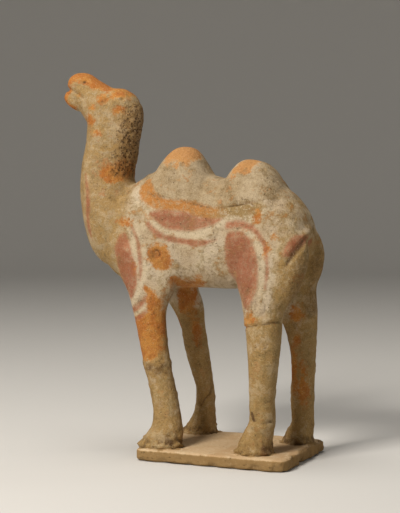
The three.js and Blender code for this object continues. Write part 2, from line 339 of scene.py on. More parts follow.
# The camel. Head, neck, body with two humps, four legs and a short tail, of red clay pressed and
# joined by hand while wet, so each joint is filled into a soft hollow. Every rung of these tables is
# a section of the form: front x and z, rear x and z, half width and y, in mm.
TORSO = [
    (-119, 186, -119, 184, 2, 0), (-112, 205, -117, 166, 20, 0), (-98, 221, -103, 149, 31, 0),
    (-82, 231.5, -87, 143, 35, 0), (-62, 240.5, -64, 141, 37, 0), (-38, 239.5, -40, 140.5, 37.5, 0),
    (-9, 233, -9, 140.5, 37, 0), (18, 229.8, 16, 141.5, 37.5, 0), (42, 226, 38, 144, 37.5, 0),
    (54.5, 217, 50, 152, 34.5, 0), (64.5, 202.5, 60, 162, 27.5, 0), (69, 187, 66, 174, 13, 0),
    (69, 181.5, 68.5, 179.5, 1.5, 0),
]
NECK = [
    (-108, 157, -106, 157, 2, 0), (-121, 162, -92, 156, 17, 0), (-131, 175, -80, 168, 26, 0),
    (-137, 196, -76, 193, 29.5, 0), (-140.5, 221, -88, 216, 27, 0), (-139.5, 244, -95, 233, 22.5, 0),
    (-136, 262, -92, 250, 20.5, 0), (-135, 276, -88.5, 268, 19.8, 0), (-134, 288, -86.5, 280, 18.8, 0),
    (-126, 299, -87.5, 293, 16.5, 0), (-114, 306, -94, 302, 11, 0), (-107, 307, -104, 307, 1, 0),
]
HEAD = [
    (-88, 290, -88, 288, 2, 0), (-91.5, 301, -96, 268, 14, 0), (-101, 308, -112, 262.5, 18.8, 0),
    (-113, 309.5, -127, 269, 18.3, 0), (-124, 315, -138, 284, 15.2, 0), (-135, 321.5, -143, 291, 13, 0),
    (-145, 322.5, -149, 299, 11.5, 0), (-151.5, 319, -152, 308, 8, 0), (-153.5, 315, -153.5, 313, 1, 0),
]
LOWER_LIP = [
    (-134, 296, -134, 294, 1, 0), (-140, 305, -138, 291, 8, 0), (-148, 309.5, -144.5, 290, 11, 0),
    (-153.5, 308, -152, 294, 10, 0), (-157, 304, -156.5, 298.5, 5, 0), (-157.5, 301.5, -157.5, 300.5, 0.5, 0),
]
# Legs are z, front x, rear x, half width and y. The first rung is the sole, pressed onto the slab.
SOLE = 10.25
LEFT_FORELEG = [
    (SOLE, -71, -33, 14.5, -35), (17, -66.5, -32.5, 14, -34.5), (28, -59.5, -33.5, 11.5, -33),
    (39, -58, -36.2, 10.5, -32), (52, -60.5, -39, 10.5, -31), (75, -67.5, -44.7, 10.5, -29.6),
    (106, -75, -50, 11, -28), (124, -80, -51, 12.5, -26),
]
RIGHT_FORELEG = [
    (SOLE, -66, -32, 14.5, 39), (17, -59.5, -33, 13, 39), (28, -52.5, -34, 10.5, 39),
    (43, -50, -34.5, 9, 38.5), (57, -50.8, -36, 9.5, 37), (78, -57, -38, 10, 34),
    (106, -62, -40, 11, 30), (124, -70, -40.5, 12.5, 26.5),
]
LEFT_HINDLEG = [
    (SOLE, 14, 46, 14.5, -32), (19, 18, 45.5, 13.5, -32), (28, 23, 46, 12, -31),
    (37, 26.5, 47.5, 11.5, -31), (52, 26, 46.5, 11.5, -30), (75, 25.5, 48.7, 12.2, -29.3),
    (106, 23, 51.3, 13.3, -27.6), (126, 19, 53.5, 15, -25),
]
RIGHT_HINDLEG = [
    (SOLE, 33, 60.5, 13, 27), (18, 37, 60.5, 12.5, 27), (28, 43, 60.5, 11, 27),
    (42, 42.5, 60, 10.5, 27), (62, 42, 61, 11, 27), (80, 41.5, 61.7, 11.5, 27),
    (102, 37.5, 62.8, 12.5, 27), (120, 30, 64.3, 15, 25),
]
SHOULDER = [
    (140, -87, -44.5, 14.5, 23.5), (156, -97, -44, 16.5, 20.5), (174, -103, -50, 17, 18.5),
    (192, -98, -62, 13, 17), (204, -84, -76, 1, 16),
]
HAUNCH = [
    (141, 14, 63.5, 16.5, 22.5), (158, 9, 70, 17.5, 20.5), (174, 8, 71.5, 17, 19.5),
    (192, 16, 63.5, 13, 18), (204, 32, 42, 1, 17),
]
# The tail lies curled on the left haunch: x, y, z and radius.
TAIL = [
    (56, 10, 196, 2), (61.5, 3, 193, 4), (65, -4.5, 190, 5.2), (65, -13.5, 186.5, 5.6),
    (62, -23, 181.5, 5.4), (57, -29.5, 173, 5), (53, -32.5, 162, 3),
]
# Humps are the top's x, the reach before and behind it, the rise and the fullness.
HUMPS = [(-41, 27, 20.5, 18.8, 2.5), (17, 22.5, 29, 17.8, 3)]
# The figure stands this far towards the rump on its slab, and its skin is made of squares this wide.
SHIFT = 1.5
VOXEL = 1.3


def flowing(rows, steps):
    """A smooth line through the rows: between two rows it is a cubic that runs, at each of them,
    parallel to the chord between the rows before and after."""
    rows = np.asarray(rows, float)
    rows = np.vstack([2 * rows[0] - rows[1], rows, 2 * rows[-1] - rows[-2]])
    t = (np.arange(steps) / steps)[None, :, None]
    a, b, c, d = (rows[k:len(rows) - 3 + k, None] for k in range(4))
    line = b + 0.5 * ((c - a) * t + (2 * a - 5 * b + 4 * c - d) * t ** 2 + (3 * b - a - 3 * c + d) * t ** 3)
    return np.vstack([line.reshape(-1, rows.shape[1]), rows[-2:-1]])


def closed_form(rings):
    """Points and faces of a skin over a stack of rings, closed by a point in the middle of each end."""
    count, around, _ = rings.shape
    here = np.arange(around)
    ahead = (here + 1) % around
    low = np.arange(count - 1)[:, None] * around
    quads = np.stack([low + here, low + ahead, low + around + ahead, low + around + here], -1).reshape(-1, 4)
    sides = np.vstack([quads[:, [0, 1, 2]], quads[:, [0, 2, 3]]])
    first = np.stack([ahead, here, np.full(around, count * around)], -1)
    top = (count - 1) * around
    last = np.stack([top + here, top + ahead, np.full(around, count * around + 1)], -1)
    points = np.vstack([rings.reshape(-1, 3), rings[0].mean(0), rings[-1].mean(0)])
    return points, np.vstack([sides, first, last])


def pressed(rungs, steps=8, around=72, squareness=2.1, humps=()):
    """A form over a ladder of rungs. Its section is a superellipse between the rung's front and rear
    points: up = sign(sin) |sin|^(2/s), out = the same of cos. A hump lifts the front point, by
    rise (1 - |distance / reach|^fullness)^1.3, and draws the upper half in over a longer reach."""
    front_x, front_z, rear_x, rear_z, half, middle = flowing(rungs, steps).T
    lift = np.zeros_like(front_x)
    pinch = np.full_like(front_x, 0.2 if humps else 0)
    for at, fore, aft, rise, fullness in humps:
        share = np.abs((front_x - at) / np.where(front_x < at, fore, aft))
        lift += rise * (1 - np.clip(share, 0, 1) ** fullness) ** 1.3
        pinch += 0.24 * rise / 18.8 * (1 - np.clip(share / 1.7, 0, 1) ** 2) ** 2
    front_z = front_z + lift
    angle = np.linspace(0, 2 * np.pi, around, endpoint=False)
    up = np.sign(np.sin(angle)) * np.abs(np.sin(angle)) ** (2 / squareness)
    out = np.sign(np.cos(angle)) * np.abs(np.cos(angle)) ** (2 / squareness)
    narrow = 1 - pinch[:, None] * ((1 + up) / 2) ** 2
    x = (front_x + rear_x)[:, None] / 2 + (front_x - rear_x)[:, None] / 2 * up
    z = (front_z + rear_z)[:, None] / 2 + (front_z - rear_z)[:, None] / 2 * up
    y = middle[:, None] + np.maximum(half, 0.5)[:, None] * out * narrow
    return closed_form(np.stack([x, y, z], -1))


def leg(lower, upper, side):
    """A leg's ladder goes on into the shoulder or haunch, whose y is taken to the leg's own side."""
    rows = lower + [(z, front, rear, half, y * side) for z, front, rear, half, y in upper]
    return pressed([(front, z, rear, z, half, y) for z, front, rear, half, y in rows])


def rolled(rows, steps=8, around=40):
    """A tapered roll: a circle carried along the line, across its direction."""
    line = flowing(rows, steps)
    spine = line[:, :3]
    along = np.gradient(spine, axis=0)
    along /= np.linalg.norm(along, axis=1)[:, None]
    side = np.cross(along, [1.0, 0.0, 0.3])
    side /= np.linalg.norm(side, axis=1)[:, None]
    up = np.cross(side, along)
    angle = np.linspace(0, 2 * np.pi, around, endpoint=False)[None, :, None]
    ring = side[:, None] * np.cos(angle) + up[:, None] * np.sin(angle)
    return closed_form(spine[:, None] + line[:, 3][:, None, None] * ring)


def joined(forms):
    """One skin round all the forms, of square faces about a voxel wide, made by a voxel remesh."""
    points = []
    faces = []
    count = 0
    for form_points, form_faces in forms:
        points.append(form_points + np.array([SHIFT, 0, 0]))
        faces.append(form_faces + count)
        count += len(form_points)
    mesh = bpy.data.meshes.new("wet_clay")
    mesh.from_pydata((np.vstack(points) / 1000).tolist(), [], np.vstack(faces).tolist())
    lump = bpy.data.objects.new("wet_clay", mesh)
    bpy.context.scene.collection.objects.link(lump)
    remesh = lump.modifiers.new("skin", "REMESH")
    remesh.mode = "VOXEL"
    remesh.voxel_size = VOXEL / 1000
    skin = bpy.data.meshes.new_from_object(lump.evaluated_get(bpy.context.evaluated_depsgraph_get()))
    bpy.data.objects.remove(lump)
    bpy.data.meshes.remove(mesh)
    found = np.empty(len(skin.vertices) * 3)
    skin.vertices.foreach_get("co", found)
    corners = np.empty(len(skin.loops), np.int64)
    skin.loops.foreach_get("vertex_index", corners)
    bpy.data.meshes.remove(skin)
    return found.reshape(-1, 3) * 1000, corners.reshape(-1, 4)


class Skin:
    """The camel's square faces, and what each point's neighbours are, for work on whole arrays."""

    def __init__(self, points, quads):
        self.points = points
        self.quads = quads
        self.start = quads.ravel()
        self.end = np.roll(quads, -1, axis=1).ravel()
        self.count = np.maximum(np.bincount(self.start, minlength=len(points)), 1)

    def around(self, values):
        """The mean of each point's neighbours."""
        columns = values.reshape(len(values), -1)
        sums = [np.bincount(self.start, column[self.end], len(values)) for column in columns.T]
        return (np.stack(sums, -1) / self.count[:, None]).reshape(values.shape)

    def normals(self):
        """The cross product of each face's diagonals, summed at its corners, and made unit length."""
        a, b, c, d = (self.points[self.quads[:, k]] for k in range(4))
        flat = np.cross(c - a, d - b)
        sums = np.zeros_like(self.points)
        for k in range(4):
            for axis in range(3):
                sums[:, axis] += np.bincount(self.quads[:, k], flat[:, axis], len(self.points))
        return sums / (np.linalg.norm(sums, axis=1)[:, None] + 1e-12)

    def smooth(self, rounds, amount, hold):
        """Each round draws every point towards the mean of its neighbours and then a little further
        back, so that bumps go and the form keeps its size. Hold is 0 where points stay put."""
        for _ in range(rounds):
            self.points += hold[:, None] * amount * (self.around(self.points) - self.points)
            self.points -= hold[:, None] * amount * 1.03 * (self.around(self.points) - self.points)

    def fill(self, rounds, radius, hold):
        """Clay is thumbed into each crease until its hollow is about this round: where the mean of the
        neighbours lies outside by more than spacing squared over four radii, the point follows."""
        spacing = VOXEL ** 2 / (4 * radius)
        for number in range(rounds):
            if number % 10 == 0:
                normal = self.normals()
            depth = np.einsum("ij,ij->i", self.around(self.points) - self.points, normal)
            self.points += (hold * 0.5 * np.maximum(depth - spacing, 0))[:, None] * normal


def modelled_camel():
    """The pressed forms are joined into one skin, and every joint but the mouth and tail is filled."""
    forms = [
        pressed(TORSO, 8, 96, 2.4, HUMPS),
        pressed(NECK),
        pressed(HEAD),
        pressed(LOWER_LIP),
        rolled(TAIL),
        leg(LEFT_FORELEG, SHOULDER, -1),
        leg(RIGHT_FORELEG, SHOULDER, 1),
        leg(LEFT_HINDLEG, HAUNCH, -1),
        leg(RIGHT_HINDLEG, HAUNCH, 1),
    ]
    skin = Skin(*joined(forms))
    x, y, z = skin.points.T.copy()
    standing = ease(z, SOLE + 0.6, SOLE + 5)
    skin.smooth(4, 0.5, standing)
    mouth = ease(-x, 122, 132) * ease(z, 282, 290)
    by_tail = ease(x, 46, 56) * ease(-y, -4, 6) * ease(z, 152, 162) * ease(206 - z, 0, 8)
    below_tail = ease(0.88 * (x - 63) - 0.47 * (z - 178), -2.5, 2)
    breast = ease(-x, 72, 84) * ease(x, -122, -108) * ease(z, 150, 165) * ease(236 - z, 0, 10)
    radius = 9 - 6.5 * mouth + by_tail * (18 - 25 * below_tail) + 26 * breast
    skin.fill(110, radius, standing * (1 - 0.75 * mouth))
    skin.smooth(6, 0.5, standing)
    return skin


# What is painted on the flanks, as outlines and strokes over x and z in mm, seen from the left. The
# strokes are x, z and half width. The right flank has the same, seen from its own side.
CRESCENT = [
    (-61, 203), (-56, 205.5), (-47, 206.5), (-38, 205.5), (-29, 205), (-21, 201.5), (-12, 200),
    (-3, 199.5), (4, 199.5), (0, 196.5), (-6, 194), (-13, 191.5), (-22, 190), (-32, 189.5),
    (-41, 190.5), (-48, 193), (-55, 198),
]
GIRTH_STRIPE = [
    (-62, 194.5, 1.5), (-57, 190, 2.3), (-51, 185.8, 2.2), (-44, 183, 2.2), (-36, 181.8, 2.2),
    (-28, 180.6, 2.4), (-20, 179.6, 2.6), (-12, 180, 2), (-6, 181.2, 1.4), (0, 183, 0.6),
]
HAUNCH_LEAF = [
    (8, 180), (9, 187), (13, 190), (19, 190), (25, 187.5), (30, 183), (34, 176), (36.5, 167),
    (37.5, 157), (37, 147), (35, 139), (31, 131), (27, 127), (23, 131), (19, 139), (14, 147),
    (10, 154), (8, 163), (7.5, 172),
]
HAUNCH_ARCH = [
    (10, 194.5, 3.2), (17, 195.2, 3.1), (24, 194.6, 2.8), (31, 192.3, 2.2), (36, 188.5, 1.8), (40, 183, 1.5),
    (43, 176, 1.3), (44.5, 168, 1.2), (45, 160, 1), (44.5, 152, 0.8), (44, 145, 0.4),
]
SHOULDER_LEAF = [
    (-89, 185), (-84, 187), (-80, 182), (-77, 175), (-74.5, 168), (-71.5, 160), (-70, 152), (-70.5, 144),
    (-73, 137), (-78, 131.5), (-82, 138), (-87, 147), (-90, 156), (-92.5, 167), (-92.5, 178),
]
SHOULDER_STRIPE = [
    (-77, 192, 0.6), (-74, 187, 0.9), (-71, 180, 1.1), (-69, 172, 1.3), (-68, 163, 1.4), (-67.3, 155, 1.2),
    (-67.5, 148, 0.6),
]
GARTERS = [
    [(-79, 121.5, 2.2), (-72, 124.5, 2.4), (-66, 129, 2.2), (-61, 135, 1.4)],
    [(-74, 114.5, 1.6), (-67, 118.5, 1.6), (-61, 122.5, 1)],
]
TAIL_PATCH = [
    (60, 181), (64, 186.5), (70, 187), (73, 184), (71, 180), (66, 175), (62, 170.5), (58.5, 170.5),
    (57.5, 175),
]
NECK_STRIPE = [
    (-126, 235, 0.8), (-123, 222, 1.8), (-122, 210, 2.2), (-122.5, 198, 2.2), (-121, 188, 1.6),
    (-119, 180, 0.5),
]
CREAM_BANDS = [
    [(-64, 204, 2.2), (-60, 198, 2.4), (-55, 193.2, 2.4), (-49, 189.2, 2.4), (-41, 187, 2.4), (-32, 186, 2.6),
     (-22, 185.6, 2.8), (-13, 187.5, 2.6), (-5, 191.3, 2.4), (3, 195.6, 2), (8, 197, 1)],
    [(12, 191, 1), (20, 191.3, 1.6), (27, 189.5, 1.9), (33, 185, 2.4), (37, 178, 3), (39.5, 169, 3),
     (40.5, 159, 2.8), (40.5, 149, 2.5), (39, 140, 1.8)],
    [(-74, 196, 1.5), (-71, 188, 1.8), (-67, 180, 2), (-64.5, 170, 2.2), (-63.8, 160, 2.4), (-64.5, 150, 2.2),
     (-67, 142, 2.2), (-70, 136, 2.2), (-75, 130, 2.2), (-80, 127, 1.6)],
    [(-80, 190, 0.8), (-76.5, 184, 1.1), (-74, 176, 1.1), (-72, 168, 1), (-70.5, 160, 0.9)],
    [(-76, 118.2, 1.5), (-70, 120.8, 1.8), (-64, 125, 1.8), (-60, 129.5, 1.2)],
]
OCHRE_BAND = [
    (-74, 226), (-69, 230), (-63, 227.5), (-59, 222.5), (-54, 218), (-47, 215.5), (-38, 214.5), (-30, 213.8),
    (-22, 212), (-14, 210.3), (-6, 209), (4, 209), (14, 210), (24, 211.5), (33, 213), (38, 210.5), (36, 206),
    (28, 203.5), (18, 202.5), (10, 202), (2, 200.5), (-6, 199.8), (-13, 201), (-20, 203.2), (-27, 205.3),
    (-34, 205.6), (-41, 206.4), (-49, 207), (-56, 207.8), (-64, 211.5), (-72, 217),
]
# The saddle cloth's lower edge, x and z. Above it the slip lies thicker, with a lip along the edge.
CLOTH_EDGE = [
    (-90, 232), (-73, 223), (-62, 219), (-55, 216.8), (-45, 215.2), (-36, 214.4), (-28, 213.3), (-18, 211),
    (-8, 209.3), (2, 209), (12, 210.3), (22, 211.8), (32, 213.5), (45, 214.8), (60, 214), (90, 205),
]
# Where the slip is gone and the orange clay shows: outlines, and spots of x, z and two radii.
BARE_OUTLINES = [
    [(-58, 178), (-52, 180.5), (-45, 177.5), (-41.5, 170), (-42, 163), (-46, 157), (-52, 155), (-57, 158),
     (-61.5, 164), (-62, 171)],
    [(-44, 151), (-37, 149.5), (-31, 147), (-25, 148), (-20, 153), (-16.5, 151), (-17, 145), (-25, 141.5),
     (-36, 138), (-44, 140)],
    [(-64, 143), (-56, 141), (-51, 135), (-48, 124), (-46, 110), (-48, 96), (-50, 86), (-57, 81), (-66, 83),
     (-74, 95), (-78, 108), (-73, 117), (-66, 119), (-61, 125), (-62, 134)],
    [(3, 236), (8, 243), (14, 250), (24, 252), (27, 246), (24, 241), (20, 237.5), (12, 236), (6, 233)],
    [(-57, 246), (-50, 243), (-46, 246), (-42, 241.5), (-38, 245), (-34, 242), (-30, 246), (-25, 250),
     (-30, 262), (-42, 266), (-54, 258)],
    [(-153, 316), (-148, 325), (-138, 326), (-128, 322), (-116, 314), (-100, 312), (-90, 305), (-90, 299),
     (-100, 303), (-112, 306), (-122, 308), (-130, 312), (-139, 315.5), (-147, 313)],
    [(-160, 300), (-156, 309), (-147, 310), (-143, 307), (-147, 304), (-148, 298), (-142, 294), (-146, 289),
     (-155, 292)],
]
BARE_SPOTS = [
    (43.5, 175.5, 3.2, 5.5), (49.5, 186, 2, 3), (34.5, 203.5, 2.4, 6), (29, 119.5, 5, 6), (-101, 236, 10, 8),
    (-95, 241, 5, 8), (-97.5, 288.5, 4.2, 3.6), (-112, 300, 5.5, 4), (-99, 303.5, 10, 5), (-124, 281, 4, 5.5),
    (-118, 271.5, 5, 2.8), (-84, 196, 6, 3), (-73, 158, 2, 3), (-137.5, 304, 2.2, 2), (-122, 292, 3, 3),
]
# Orange spots on the far legs' faces that look towards the near ones, seen between them: bare clay on the
# right foreleg, and on the right hind leg painted light thrown back orange from the clay around it.
INNER_BARE_AND_BOUNCE_SPOTS = [
    (-44, 128, 7, 16), (-41, 104, 3, 10), (56, 120, 5, 9), (52, 72, 4, 20), (60, 58, 4, 15), (56, 98, 3, 7),
]
# Small features, x and z: on both sides the eye, the ear with its hole, and the nostril. On the left
# flank a crater, and on the left hind leg a round scar.
EYE = (-110.5, 300.3)
EAR = (-96, 299)
EAR_HOLE = (-95.5, 298.5)
NOSTRIL = (-132.6, 314.4)
CRATER = (-54, 170)
SCAR = (38, 129)
# Strokes that are cut into the clay: the mouth, the groove under the tail, the crack round the left
# hind ankle, the short cleft above it, and the cracks in the right foreleg and over the rump.
MOUTH = [(-153, 308.5, 1.1), (-146, 308.6, 1.1), (-139, 305, 0.9), (-131, 300.5, 0.5)]
TAIL_GROOVE = [(74, 187, 0.8), (70, 181, 1.8), (66.5, 175, 2), (62.5, 168.5, 1.6), (60, 163, 0.8)]
ANKLE_CRACK = [(29, 34, 0.4), (35, 38.5, 0.9), (41, 36, 1), (49, 38, 1.2)]
ANKLE_CLEFT = [(34, 44, 1.2), (35.5, 39, 1.6)]
FORELEG_CRACK = [(-41, 35, 0.3), (-38, 41, 0.6), (-34, 45.5, 0.7), (-33.5, 52, 0.3)]
RUMP_CRACK = [(28, 238, 0.3), (37, 235.5, 0.7), (44, 229, 0.7), (51, 221, 0.3)]
# Painted shade on the rear edge of the haunches and thighs, below the tail.
SHADED_RUMP = [(75, 180), (69, 174), (64, 164), (61, 150), (57, 136), (54, 120), (66, 116), (76, 140)]


def within(x, z, outline):
    """Distance in mm to a closed outline, positive inside. The outline is rounded through its points.
    A point is inside where a level line from it crosses the outline an odd number of times."""
    line = flowing(outline + outline[:1], 3)
    best = np.full(len(x), 1e9)
    inside = np.zeros(len(x), bool)
    for (ax, az), (bx, bz) in zip(line[:-1], line[1:]):
        length = (bx - ax) ** 2 + (bz - az) ** 2 + 1e-9
        share = np.clip(((x - ax) * (bx - ax) + (z - az) * (bz - az)) / length, 0, 1)
        best = np.minimum(best, (x - ax - share * (bx - ax)) ** 2 + (z - az - share * (bz - az)) ** 2)
        crosses = (az > z) != (bz > z)
        inside ^= crosses & (x < ax + (z - az) / (bz - az + 1e-12) * (bx - ax))
    return np.where(inside, 1, -1) * np.sqrt(best)


def stroke(x, z, path):
    """Half the width of a brush stroke less the distance to its line, so positive inside it."""
    line = flowing(path, 4)
    best = np.full(len(x), -1e9)
    for (ax, az, aw), (bx, bz, bw) in zip(line[:-1], line[1:]):
        length = (bx - ax) ** 2 + (bz - az) ** 2 + 1e-9
        share = np.clip(((x - ax) * (bx - ax) + (z - az) * (bz - az)) / length, 0, 1)
        away = np.hypot(x - ax - share * (bx - ax), z - az - share * (bz - az))
        best = np.maximum(best, aw + share * (bw - aw) - away)
    return best


def spot(x, z, at, size):
    """1 in the middle and exp(-(distance / size)^2) around it."""
    return np.exp(-((x - at[0]) ** 2 + (z - at[1]) ** 2) / size ** 2)


def weathered_and_shaded(skin):
    """The hand-worked and worn surface: heights in mm along the normals, and how dark each place is, from
    marks in the clay and from painted shade in the crater, under the cloth's lip, under the tail and at the
    rump's rear.
    """
    points = skin.points
    normal = skin.normals()
    x, y, z = points.T.copy()
    left = ease(-normal[:, 1], 0.0, 0.35) * (y < 0)
    right = ease(normal[:, 1], 0.0, 0.35) * (y > 0)
    either = np.maximum(left, right)
    standing = ease(z, SOLE + 1, SOLE + 5)
    shank = ease(118 - z, 0, 25)
    crumbs = ease(26 - z, 0, 12)
    height = 0.5 * wander(points, 24, 11) + 0.24 * wander(points, 9, 12)
    height += (0.1 + 0.1 * shank + 0.14 * crumbs) * wander(points, 3.6, 13)
    clods = np.clip(wander(points, 4.2, 14) + 0.5 * wander(points, 2.4, 26), 0, 1)
    near = crumbs * (0.7 + 0.3 * ease(-x, 20, 30) * (y < 0))
    height += near * 2.6 * clods - crumbs * 0.7
    lumps = np.clip(0.25 + wander(points, 8, 35) + 0.5 * wander(points, 3, 36), 0, 1)
    height += 2.4 * ease(17 - z, 0, 5) * lumps
    scale = shank * ease(wander(points, 15, 27) + 0.4 * wander(points, 5, 28), -0.1, 0.25)
    height += 0.35 * scale + 0.25 * scale * wander(points, 2.6, 29)
    dark = 0.5 * near * ease(0.12 - clods, 0, 0.12) + 0.12 * scale
    # Darker patches at the rear of the near feet and low on the far feet.
    foot_darkening = spot(x, z, (-36, 19), 7) * (y < 0) + spot(x, z, (46, 20), 9) * (y < 0)
    foot_darkening += 0.7 * ease(20 - z, 0, 6) * ease(y, 0, 10)
    dark += 0.4 * foot_darkening * ease(wander(points, 4, 37), -0.5, 0.5)
    band = ease(x, -76, -70) * ease(-40 - x, 0, 5) * (y < 0) * ease(z, 66, 76) * ease(84 - z, 0, 5)
    height += band * (0.4 + 0.5 * wander(points, 3, 30))
    dark += band * (0.35 + 0.3 * wander(points, 3, 30))

    edge_x, edge_z = flowing(CLOTH_EDGE, 6).T
    above = z - np.interp(x, edge_x, edge_z) + 0.6 * wander(points, 7, 15)
    flank = ease(x, -78, -62) * ease(62 - x, 0, 16) * ease(np.abs(y), 8, 16)
    lip = flank * (0.6 + 0.5 * ease(wander(points, 14, 25), -0.5, 0.6)) * ease(50 - x, 0, 30)
    height += lip * ease(above, -0.5, 0.9) * ease(20 - above, 0, 17)
    height -= lip * 0.5 * np.exp(-((above + 1.2) / 1.1) ** 2)
    # Painted shadow: a dark line just under the lip, on its rear part.
    dark += lip * 0.7 * np.exp(-((above + 0.7) / 0.7) ** 2) * ease(x, -50, -20)

    behind = x + 99 - 0.22 * (z - 250) + 2.5 * wander(points, 9, 16)
    mane = ease(behind, -7, 4) * ease(z, 231, 237) * ease(302 - z, 0, 12) * ease(-70 - x, 0, 5)
    pits = np.clip(0.1 + 0.6 * wander(points, 3.0, 17) + 0.8 * wander(points, 2.0, 24), 0, 1)
    height += mane * (0.9 + 0.5 * wander(points, 5, 18) - 1.5 * pits)
    dark += mane * pits * 0.22

    for side in (left, right):
        socket = np.exp(-((np.hypot(x - EYE[0], z - EYE[1]) - 4.4) / 1.1) ** 2)
        height += (0.9 * spot(x, z, EYE, 3.6) - 0.5 * socket) * side
        height += (1.9 * spot(x, z, EAR, 3.8) - 2.4 * spot(x, z, EAR_HOLE, 1.5)) * side
        dark += 0.35 * spot(x, z, EAR_HOLE, 1.4) * side
        nostril = spot(x, z, NOSTRIL, 1.5) * side
        height -= 1.7 * nostril
        dark += nostril
    mouth = stroke(x, z, MOUTH)
    height -= either * 1.6 * ease(mouth, -1.3, 0.8)
    dark += either * 0.5 * ease(mouth, -0.8, 0.8)

    crater = np.hypot(x - CRATER[0], 0.8 * (z - CRATER[1]))
    height += left * (0.6 * np.exp(-((crater - 4.6) / 1.2) ** 2) - 1.1 * np.exp(-(crater - 2.4) ** 2))
    # Painted shade on the upper rear side of the crater's hollow.
    dark += left * 0.75 * np.exp(-((crater - 2.3) / 0.9) ** 2) * ease(x + z - 114, -3, 4)
    dark += left * 0.3 * np.exp(-((crater - 5.6) / 0.8) ** 2)
    under_tail = stroke(x, z, TAIL_GROOVE)
    height -= left * 1.3 * ease(under_tail, -2.2, 1.5)
    # The groove is darkened as painted shadow under the tail.
    dark += left * 0.7 * ease(under_tail, -1.5, 1.5)
    # Painted shade, darkening the rear edge of the haunches below the tail.
    dark += 0.42 * ease(within(x, z, SHADED_RUMP), -3, 5) * ease(x, 52, 62)
    scar = np.hypot(x - SCAR[0], z - SCAR[1])
    height -= left * 0.9 * np.exp(-((scar - 6 - 0.8 * wander(points, 5, 19)) / 0.9) ** 2)
    dark += left * 0.4 * np.exp(-((scar - 6) / 0.9) ** 2)
    hind = left * ease(x, 15, 22)
    joint = z - 113 - 0.16 * (x - 25) - 1.2 * wander(points, 8, 20)
    height -= hind * 1.1 * np.exp(-joint ** 2)
    height += hind * 0.8 * ease(joint, 0, 1.2) * ease(9 - joint, 0, 7)
    dark += hind * 0.5 * np.exp(-(joint / 0.9) ** 2)
    ankle = stroke(x, z, ANKLE_CRACK)
    height -= left * ease(ankle, -1.0, 0.8)
    height += left * 0.5 * ease(38 - z, 0, 3) * ease(z, 12, 30) * ease(x, 15, 20)
    dark += left * 0.5 * ease(ankle, -0.8, 0.8) * ease(x, 38, 46)
    dark += left * 0.8 * ease(stroke(x, z, ANKLE_CLEFT), -0.8, 0.6)
    dark += left * 0.5 * spot(x, z, (40, 45), 1.3)
    cracked = stroke(x, z, FORELEG_CRACK)
    outer = ease(-normal[:, 1], -0.1, 0.3) * (y > 20) * (z < 60)
    height -= outer * 0.9 * ease(cracked, -0.9, 0.5)
    dark += outer * 0.6 * ease(cracked, -0.9, 0.5)
    height += left * (1.1 * spot(x, z, (8, 149), 1.6) + 0.8 * spot(x, z, (29, 133), 1.8))
    rump = stroke(x, z, RUMP_CRACK)
    height -= 0.5 * ease(rump, -1.2, 0.8) * either
    dark += 0.25 * ease(rump, -1.0, 0.8) * either

    level = normal * np.stack([np.ones_like(z), np.ones_like(z), ease(z, SOLE + 2, SOLE + 8)], -1)
    free = np.maximum(standing, 0.9 * ease(z, SOLE + 0.2, SOLE + 1))
    skin.points += (height * free)[:, None] * level
    skin.smooth(1, 0.4, standing)
    return {"dark": dark, "mane": mane, "above": above, "shank": shank}


def painted(skin, fields):
    """How far each point lies inside each kind of paint, in mm, and how dirty it is, with painted shade
    towards the rump's rear and in the hollows, and painted reflected light on the far hind leg.
    """
    points = skin.points
    normal = skin.normals()
    across = ease(points[:, 1], -8, 8)
    x = points[:, 0] + across * (3 + 3.5 * wander(points, 30, 21))
    z = points[:, 2] + across * (3.5 * wander(points, 26, 22) - 1)
    outward = 25 * (1 - ease(normal[:, 1] * np.where(points[:, 1] < 0, -1, 1), -0.25, 0.1))
    red = [within(x, z, outline) for outline in (CRESCENT, HAUNCH_LEAF, SHOULDER_LEAF, TAIL_PATCH)]
    strokes = [GIRTH_STRIPE, HAUNCH_ARCH, SHOULDER_STRIPE, NECK_STRIPE] + GARTERS
    red += [stroke(x, z, path) for path in strokes]
    fields["red"] = np.max(red, axis=0) - outward
    fields["ochre"] = within(x, z, OCHRE_BAND) - outward
    fields["bright"] = np.max([stroke(x, z, path) for path in CREAM_BANDS], axis=0) - outward
    bare = [within(x, z, outline) for outline in BARE_OUTLINES]
    for at_x, at_z, wide, high in BARE_SPOTS:
        bare.append((1 - np.hypot((x - at_x) / wide, (z - at_z) / high)) * min(wide, high))
    # Orange on the far legs' faces towards the near ones, which on the far hind leg is painted reflected
    # light.
    inner_bare_and_bounce = []
    for at_x, at_z, wide, high in INNER_BARE_AND_BOUNCE_SPOTS:
        inner_bare_and_bounce.append((1 - np.hypot((x - at_x) / wide, (z - at_z) / high)) * wide)
    inner_bare_and_bounce = np.max(inner_bare_and_bounce, axis=0) - 12 * (points[:, 1] < 0) - (12 - 0.48 * outward) * ease(points[:, 1], 0, 5)
    fields["bare"] = np.maximum(np.max(bare, axis=0) - 0.4 * outward, inner_bare_and_bounce)
    for name in ("red", "ochre", "bright", "bare"):
        fields[name] = np.clip(fields[name], -12, 12)
    neck = ease(-points[:, 0], 72, 94)
    low = ease(130 - points[:, 2], 0, 16)
    # Painted shade: the rear term makes the rump's rear tan-brown, more so lower down.
    rear = ease(points[:, 0], 42, 60) * (0.6 + 0.5 * ease(185 - points[:, 2], 0, 20))
    fields["earth_tint_and_rear_shade"] = np.max([neck, low, rear], axis=0) + 0.3 * wander(points, 20, 23)
    # How far each point lies in a hollow; the colour darkens hollows as painted shade.
    bowl = skin.around(points) - points
    for _ in range(12):
        bowl = skin.around(bowl)
    hollow = np.einsum("ij,ij->i", bowl, normal)
    fields["hollow"] = np.clip(0.5 + hollow / 0.06, 0, 1)
    fields["above"] = np.clip(fields["above"], -20, 20) * ease(points[:, 0], -82, -70)
    return fields


